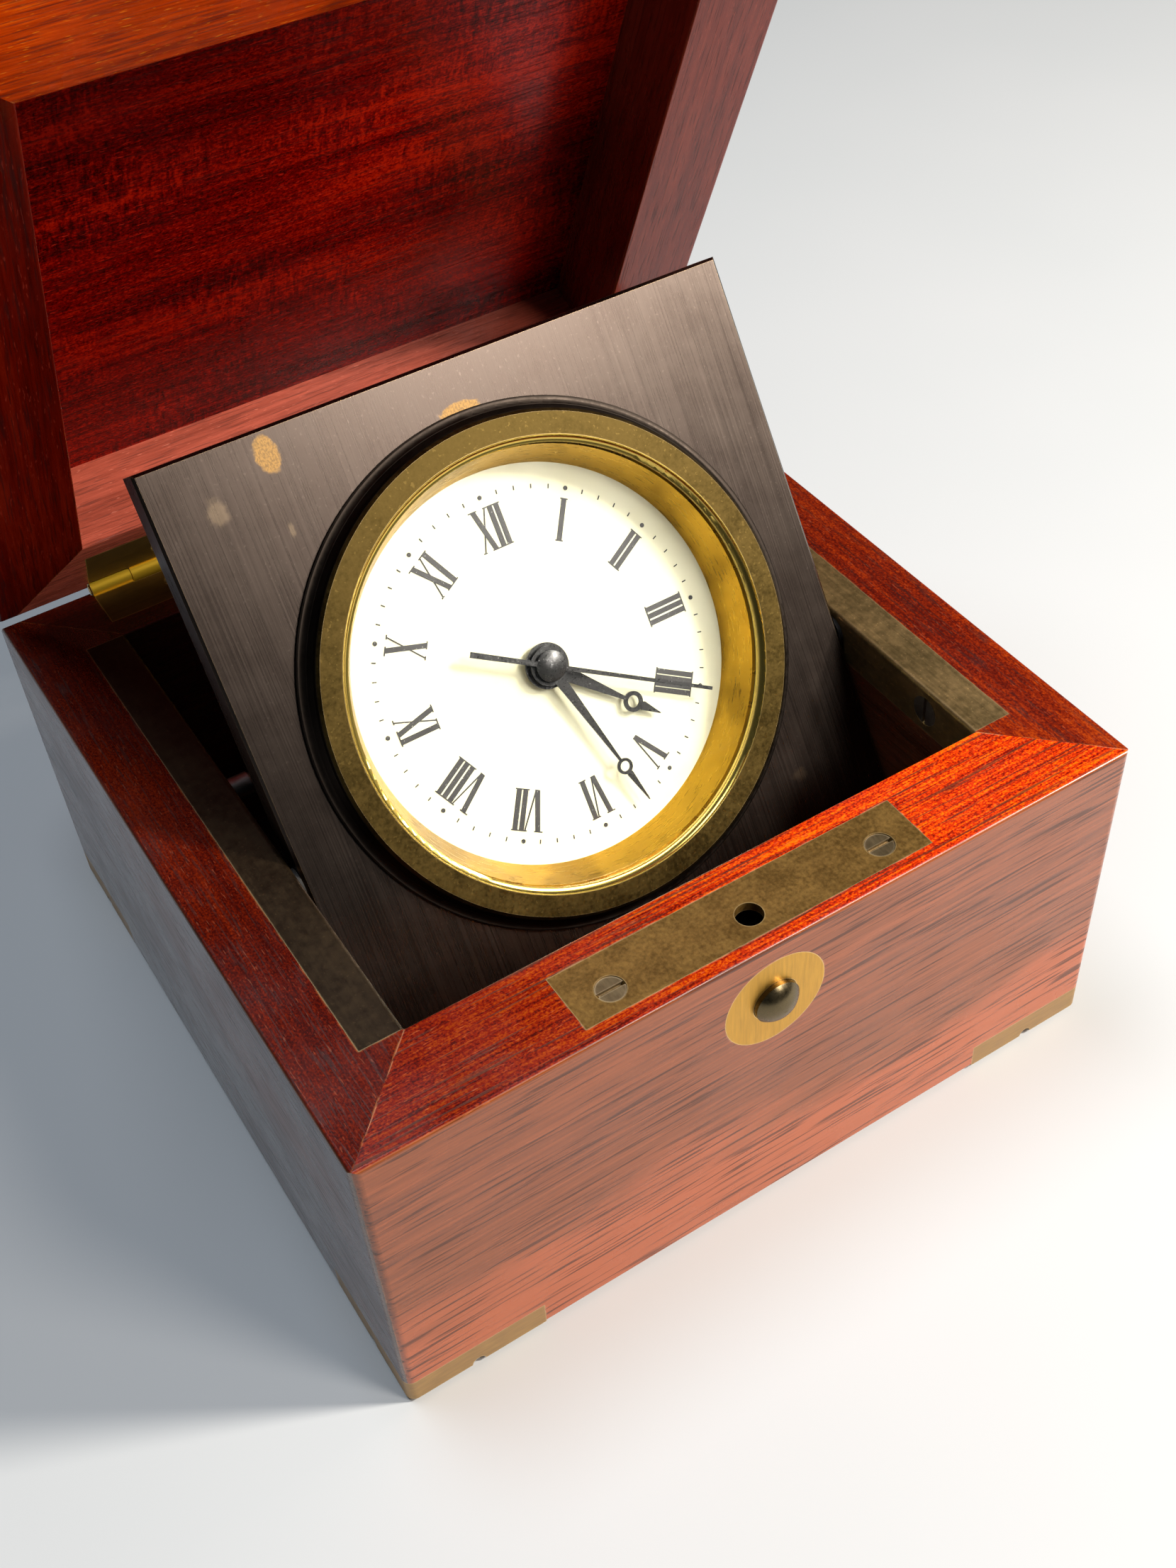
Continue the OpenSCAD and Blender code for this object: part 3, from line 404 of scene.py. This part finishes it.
dress(wood("lid rear rail", LID_ALONG_X, *LID_REAR, seed=29), "lid_rear_rail")
dress(wood("lid left rail", LID_ALONG_Y, *LID_SIDE, seed=33, specular=0.15, coat=0.03),
      "lid_left_rail")
# the panel's darker left and lighter right, from fade and the bright PANEL tones, are painted
# light and painted shade
dress(wood("lid panel", LID_ALONG_X, *PANEL, seed=41, ripple=0.5, mottle=0.5,
           fade=(-20 * MM, 40 * MM, 0.62), edge_wear_and_highlight_amount=0.1, coat=0.02, specular=0.12),
      "lid_panel")


# ------------------------------------------------------------ metals

# noise cells per metre
PLAIN_GRAIN_CELLS = 2500
SPECK_CELLS = 1900
# how far grain darkens a brushed and a plain metal, and how far it moves the roughness
BRUSHED_DEPTH, PLAIN_DEPTH = 0.35, 0.12
GRAIN_ROUGHNESS = 0.15
# the tint lies in small blotches and in clouds so many times their size
BLOTCH_SHARE, CLOUD_SHARE = 0.6, 0.4
CLOUD_SIZE = 6


def metal(name, space, base, tint, brushing=None, roughness=0.3, spread=0.15, mottle=0.5,
          mottle_cells=350, edge_wear_and_glint=None, edge_radius=0.4 * MM, bump=0.01 * MM, specks=0.0):
    """Toned metal: base and tint colours in blotches, with brushing along one axis if given.

    brushing is the number of noise cells per metre along each of the space's axes, fewest
    along the brush marks. spread is how much rougher the tinted blotches are. Gives the graph,
    the colour, the roughness and the normal, for finished().
    """
    g = Graph(name, space)
    blotch = g.cells(mottle_cells, 5.0, 0.65)
    cloud = g.cells(mottle_cells / CLOUD_SIZE, 3.0, 0.5, shift=(4, 2, 7))
    patches = g.plus(g.times(blotch, BLOTCH_SHARE), g.times(cloud, CLOUD_SHARE))
    amount = g.between(patches, 0.28, 0.72)
    colour = g.mix(g.times(amount, mottle), base, tint)
    grain = g.cells(brushing or PLAIN_GRAIN_CELLS, 3.0, 0.6)
    streaks = g.ramp(grain, [(0.3, 0.35), (0.7, 1.0)])
    colour = g.mix(BRUSHED_DEPTH if brushing else PLAIN_DEPTH, colour, streaks, "MULTIPLY")
    if specks:
        dots = g.between(g.cells(SPECK_CELLS, 1.0, 0.5, shift=(8, 8, 8)), 0.66, 0.72)
        colour = g.mix(g.times(dots, specks), colour, tuple(min(1, c * 2.5) for c in tint))
    # edges take a lighter colour: worn metal, and on the clock plate also a painted reflection
    # along its edges
    if edge_wear_and_glint:
        colour = g.mix(g.edges(edge_radius), colour, edge_wear_and_glint)
    rough = g.between(amount, 0, 1, roughness, roughness + spread)
    rough = g.plus(rough, g.swing(grain, GRAIN_ROUGHNESS))
    return g, colour, rough, g.bump(grain, bump, 0.6)


def finished(parts, metallic=1.0):
    """The material from the graph, colour, roughness and normal."""
    g, colour, rough, normal = parts
    return g.set(Metallic=metallic, Base_Color=colour, Roughness=rough, Normal=normal)


PATINA = dict(base=(0.14, 0.072, 0.013), tint=(0.31, 0.17, 0.04),
              brushing=(2400, 1300, 1300), mottle=0.9, mottle_cells=1500, roughness=0.42)
# the left strip's tones are darker than the right's as painted shade; both strips are the same
# aged brass
STRIP_TONES = {"left": ((0.022, 0.012, 0.005), (0.052, 0.031, 0.013)),
               "right": ((0.17, 0.11, 0.04), (0.32, 0.20, 0.08))}

for side, tones in STRIP_TONES.items():
    dress(finished(metal("aged brass strip " + side, ALONG_Y, *tones, brushing=(60, 2400, 2400),
                         mottle=0.9, mottle_cells=700, roughness=0.42,
                         edge_wear_and_glint=(0.4, 0.3, 0.16), specks=0.2), 0.75), "rail_" + side)
dress(finished(metal("aged brass lock plate", ALONG_X, **PATINA, edge_wear_and_glint=(0.45, 0.32, 0.14)),
               0.7), "lock_plate")
dress(finished(metal("aged brass lid plate", LID_ALONG_X, **PATINA), 0.7), "lid_latch_plate")
dress(finished(metal("corner brass", ALONG_X, (0.40, 0.225, 0.085), (0.56, 0.36, 0.15),
                     brushing=(300, 2200, 2200), roughness=0.36,
                     edge_wear_and_glint=(0.6, 0.45, 0.24)), 0.5), "corner_brasses", "corner_screws")
dress(finished(metal("golden brass", ALONG_X, (0.64, 0.34, 0.055), (0.82, 0.49, 0.11),
                     brushing=(2600, 160, 160), edge_wear_and_glint=(0.85, 0.62, 0.3))), "escutcheon")
dress(finished(metal("dark screws", ALONG_X, (0.17, 0.12, 0.06), (0.30, 0.22, 0.12),
                     brushing=(2600, 300, 300), roughness=0.36,
                     edge_wear_and_glint=(0.45, 0.34, 0.2)), 0.8),
      "lock_plate_screws", "lid_latch_screws", "latch_stud")
dress(finished(metal("button bronze", ALONG_X, (0.13, 0.10, 0.055), (0.22, 0.165, 0.09),
                     roughness=0.22, spread=0.1)), "push_button")
dress(finished(metal("steel", ALONG_X, (0.30, 0.29, 0.27), (0.42, 0.41, 0.39))),
      "rail_screws", "rest_studs", "pivot_pins", "retaining_ring", "retaining_screws",
      "case_can", "case_back", "catch_spring", "catch_slide", "battery", "setting_knob",
      "rotor")
dress(finished(metal("wheel brass", CLOCK, (0.55, 0.36, 0.12), (0.7, 0.5, 0.2),
                     roughness=0.25)),
      "seconds_wheel", "third_wheel", "minute_wheel", "motion_wheel", "hour_wheel",
      "rotor_wheel")

# distances from the hinge's axis between which the knuckle changes to the leaf
KNUCKLE_END = (1.7 * MM, 2.1 * MM)


def hinge_material():
    """Leaves darkened with age; knuckles bright gold, partly polished by use and partly a painted
    highlight.
    """
    g, colour, rough, normal = metal("hinge brass", ALONG_X, (0.12, 0.065, 0.016),
                                     (0.24, 0.145, 0.04), brushing=(120, 1600, 1600),
                                     roughness=0.34, edge_wear_and_glint=(0.55, 0.38, 0.13))
    from_axis = {k: g.math("SUBTRACT", g.along(k), hinge_axis[k]) for k in (1, 2)}
    distance = g.vector("LENGTH", g.combined(from_axis))
    knuckle = g.between(distance, *KNUCKLE_END, 1.0, 0.0)
    # the knuckles' bright gold is partly polish and partly a painted highlight
    colour = g.mix(knuckle, colour, (1.0, 0.62, 0.04))
    rough = g.mix(knuckle, rough, grey(0.36))
    return finished((g, colour, rough, normal), 0.6)


# the plate's worn spots: centre, radii, unevenness and softness of the rim, in mm from the
# dial's centre
BARE_SPOTS = (((-28.5, 43.1), (1.9, 3.0), 0.5),
              ((0.0, 39.3), (3.6, 1.3), 0.6))
FAINT_SPOTS = (((32.2, -32.0), (1.7, 1.4), 1.2, 0.7),
               ((-37.8, 38.2), (1.9, 2.4), 1.0, 0.6),
               ((-29.2, 32.6), (0.6, 1.3), 1.0, 0.6))


def plate_material():
    """Dark brushed bronze with worn spots, and golden edges that are partly worn and partly a
    painted reflection.
    """
    g, colour, rough, normal = metal("clock plate bronze", CLOCK, (0.070, 0.052, 0.043),
                                     (0.102, 0.080, 0.067), brushing=(4800, 18, 700),
                                     mottle_cells=120, roughness=0.27, spread=0.03,
                                     edge_wear_and_glint=(0.62, 0.42, 0.22), edge_radius=0.22 * MM,
                                     bump=0.006 * MM, specks=0.12)
    bare = g.spots(BARE_SPOTS)
    faint = g.spots(FAINT_SPOTS)
    stipple = g.between(g.cells((4200, 2600, 4200), 2.0, 0.6), 0.38, 0.6, 0.55, 1.0)
    colour = g.mix(g.times(faint, 0.3), colour, (0.30, 0.22, 0.14))
    colour = g.mix(g.times(bare, stipple), colour, (0.34, 0.20, 0.075))
    rough = g.mix(bare, rough, grey(0.55))
    return finished((g, colour, rough, normal))


# radii between which the bezel changes from the cove to the ring, and to the outer wall
COVE_END = (33.36 * MM, 33.5 * MM)
RING_END = (36.95 * MM, 37.3 * MM)


def bezel_material():
    """Dark bronze ring with a polished golden cove next to the glass, and an outer wall painted
    near black as painted shade.
    """
    g, colour, rough, normal = metal("bezel bronze", CLOCK, (0.05, 0.033, 0.009),
                                     (0.105, 0.069, 0.020), mottle=0.9, mottle_cells=1400,
                                     roughness=0.38, bump=0.002 * MM,
                                     edge_wear_and_glint=(0.5, 0.37, 0.2), edge_radius=0.25 * MM,
                                     specks=0.2)
    radius = g.dial_radius()
    cove = g.between(radius, *COVE_END, 1.0, 0.0)
    colour = g.mix(cove, colour, (0.72, 0.52, 0.12))
    # the outer wall beyond RING_END is painted near black: painted shade
    colour = g.mix(g.between(radius, *RING_END), colour, (0.035, 0.027, 0.022))
    rough = g.mix(cove, rough, grey(0.22))
    return finished((g, colour, rough, normal))


def rehaut_material():
    """Sloping golden ring, brushed round the dial, with darker smudges."""
    g = Graph("rehaut brass", CLOCK)
    angle = g.math("ARCTAN2", g.along(1), g.along(0))
    around = g.combined({0: g.times(angle, 9.0), 1: g.times(g.along(2), 2600.0)})
    lines = g.noise(around, 4.0, 0.6)
    smudge = g.between(g.cells(60, 3.0, 0.55, shift=(2, 6, 1)), 0.46, 0.62)
    colour = g.mix(smudge, (0.45, 0.255, 0.022), (0.27, 0.148, 0.010))
    colour = g.mix(0.15, colour, g.ramp(lines, [(0.3, 0.5), (0.7, 1.0)]), "MULTIPLY")
    rough = g.between(lines, 0.3, 0.7, 0.24, 0.4)
    return finished((g, colour, rough, g.bump(lines, 0.01 * MM, 0.6)))


dress(hinge_material(), "hinge_leaves_lower", "hinge_leaves_upper", "hinge_pins",
      "hinge_screws_lower", "hinge_screws_upper")
dress(plate_material(), "clock_plate")
dress(bezel_material(), "bezel")
dress(rehaut_material(), "rehaut_ring")


# ------------------------------------------------------------ dial, hands, glass and the rest

def speckled(name, space, base, other, per_metre, roughness, bump=0.002 * MM, metallic=0.0,
             low=0.45, high=0.75):
    """A plain finish with a fine second tone, for lacquer, cloth, fibre and moulded parts."""
    g = Graph(name, space)
    fine = g.cells(per_metre, 4.0, 0.65)
    colour = g.mix(g.between(fine, low, high), base, other)
    rough = g.between(fine, 0.3, 0.7, roughness, roughness + 0.1)
    return finished((g, colour, rough, g.bump(fine, bump, 0.5)), metallic)


dress(speckled("dial enamel", CLOCK, (0.525, 0.515, 0.36), (0.495, 0.48, 0.32), 90, 0.42),
      "dial")
dress(speckled("dial print", CLOCK, (0.006, 0.0055, 0.0055), (0.34, 0.33, 0.31), 4200, 0.5,
               low=0.62, high=0.74), "dial_markers")
dress(speckled("hand lacquer", CLOCK, (0.008, 0.008, 0.008), (0.42, 0.41, 0.39), 3600, 0.26,
               low=0.63), "hour_hand", "minute_hand", "seconds_hand")
dress(speckled("lining cloth", ALONG_X, (0.010, 0.008, 0.007), (0.02, 0.016, 0.014), 2500, 0.9,
               0.1 * MM), "floor_lining")
dress(speckled("base felt", ALONG_X, (0.012, 0.02, 0.012), (0.03, 0.045, 0.03), 3000, 0.95,
               0.15 * MM), "base_felt")
dress(speckled("black fibre", ALONG_X, (0.012, 0.010, 0.009), (0.03, 0.026, 0.022), 1500, 0.7,
               0.03 * MM), "friction_washers", "crystal_gasket")
dress(speckled("black moulding", CLOCK, (0.02, 0.02, 0.022), (0.035, 0.035, 0.04), 900, 0.45,
               0.02 * MM), "movement_case", "movement_cover")
dress(speckled("coil and board", CLOCK, (0.34, 0.12, 0.035), (0.22, 0.09, 0.03), 1200, 0.35,
               0.03 * MM, 0.6), "coil_and_board")


def glass_material():
    """Clear flat glass. Light for the dial goes straight through it."""
    g = Graph("crystal", CLOCK)
    dust = g.between(g.cells(700, 4.0, 0.7), 0.5, 0.9, 0.0, 0.06)
    g.set(Transmission_Weight=1.0, IOR=1.47, Base_Color=(1, 1, 1), Roughness=dust)
    clear = g.add("ShaderNodeBsdfTransparent")
    path = g.add("ShaderNodeLightPath")
    mixer = g.add("ShaderNodeMixShader")
    g.feed(mixer.inputs[0], path.outputs["Is Shadow Ray"])
    g.link(g.shader.outputs["BSDF"], mixer.inputs[1])
    g.link(clear.outputs["BSDF"], mixer.inputs[2])
    g.link(mixer.outputs["Shader"], g.output.inputs["Surface"])
    return g.material


dress(glass_material(), "crystal")


# ------------------------------------------------------------ floor, light and camera

FLOOR_REACH = 3.0
COOL = (0.80, 0.90, 1.0)
SKY_STRENGTH = 0.04
LIT_POINT = Vector((0, 0, 70 * MM))
# name, direction from the lit point, distance and size in metres, watts, colour
LIGHTS = (("key", (0.66, -0.465, 0.60), 0.8, 0.12, 9.2, (1.0, 0.95, 0.86)),
          ("sheen", (0.37, -0.69, 0.63), 1.0, 0.27, 4.2, (1.0, 0.95, 0.88)),
          ("overhead", (-0.15, 0.2, 1.0), 1.2, 0.5, 7.0, COOL))

CAMERA_PLACE = Vector((-94.5, -186.0, 247.8)) * MM
CAMERA_LOOKS_AT = Vector((-7.2, -35.2, 69.0)) * MM
CAMERA_ROLL = math.radians(-3.65)
LENS_MM, SENSOR_MM = 41.88, 36.0
LENS_SHIFT = (-0.016, 0.0063)
NEAREST, FARTHEST = 0.01, 20.0


def floor():
    mesh = bpy.data.meshes.new("floor")
    corners = [(x * FLOOR_REACH, y * FLOOR_REACH, 0)
               for x, y in ((-1, -1), (1, -1), (1, 1), (-1, 1))]
    mesh.from_pydata(corners, [], [(0, 1, 2, 3)])
    plane = bpy.data.objects.new("floor", mesh)
    bpy.context.scene.collection.objects.link(plane)
    g = Graph("pale floor")
    colour = g.mix(g.cells(12, 2.0, 0.5), (0.56, 0.57, 0.58), (0.60, 0.60, 0.61))
    mesh.materials.append(g.set(Base_Color=colour, Roughness=0.6))


def area_light(name, direction, distance, size, power, colour):
    data = bpy.data.lights.new(name, "AREA")
    data.shape = "DISK"
    data.size = size
    data.energy = power
    data.color = colour
    light = bpy.data.objects.new(name, data)
    light.location = LIT_POINT + Vector(direction).normalized() * distance
    light.rotation_euler = (-Vector(direction)).to_track_quat("-Z", "Y").to_euler()
    bpy.context.scene.collection.objects.link(light)


def surroundings():
    world = bpy.data.worlds.new("studio")
    world.use_nodes = True
    background = world.node_tree.nodes["Background"]
    background.inputs["Color"].default_value = (*COOL, 1)
    background.inputs["Strength"].default_value = SKY_STRENGTH
    bpy.context.scene.world = world


def camera():
    """Standing at the front left, looking down at the dial, turned a little about its own axis."""
    data = bpy.data.cameras.new("camera")
    data.sensor_width = SENSOR_MM
    data.lens = LENS_MM
    data.shift_x, data.shift_y = LENS_SHIFT
    data.clip_start = NEAREST
    data.clip_end = FARTHEST
    cam = bpy.data.objects.new("camera", data)
    forward = (CAMERA_LOOKS_AT - CAMERA_PLACE).normalized()
    level_right = forward.cross(Z).normalized()
    level_up = level_right.cross(forward)
    right = level_right * math.cos(CAMERA_ROLL) + level_up * math.sin(CAMERA_ROLL)
    up = right.cross(forward)
    turned = Matrix((right, up, -forward)).transposed().to_4x4()
    cam.matrix_world = Matrix.Translation(CAMERA_PLACE) @ turned
    bpy.context.scene.collection.objects.link(cam)
    bpy.context.scene.camera = cam


floor()
surroundings()
for light in LIGHTS:
    area_light(*light)
camera()
bpy.context.scene.view_settings.view_transform = "Standard"
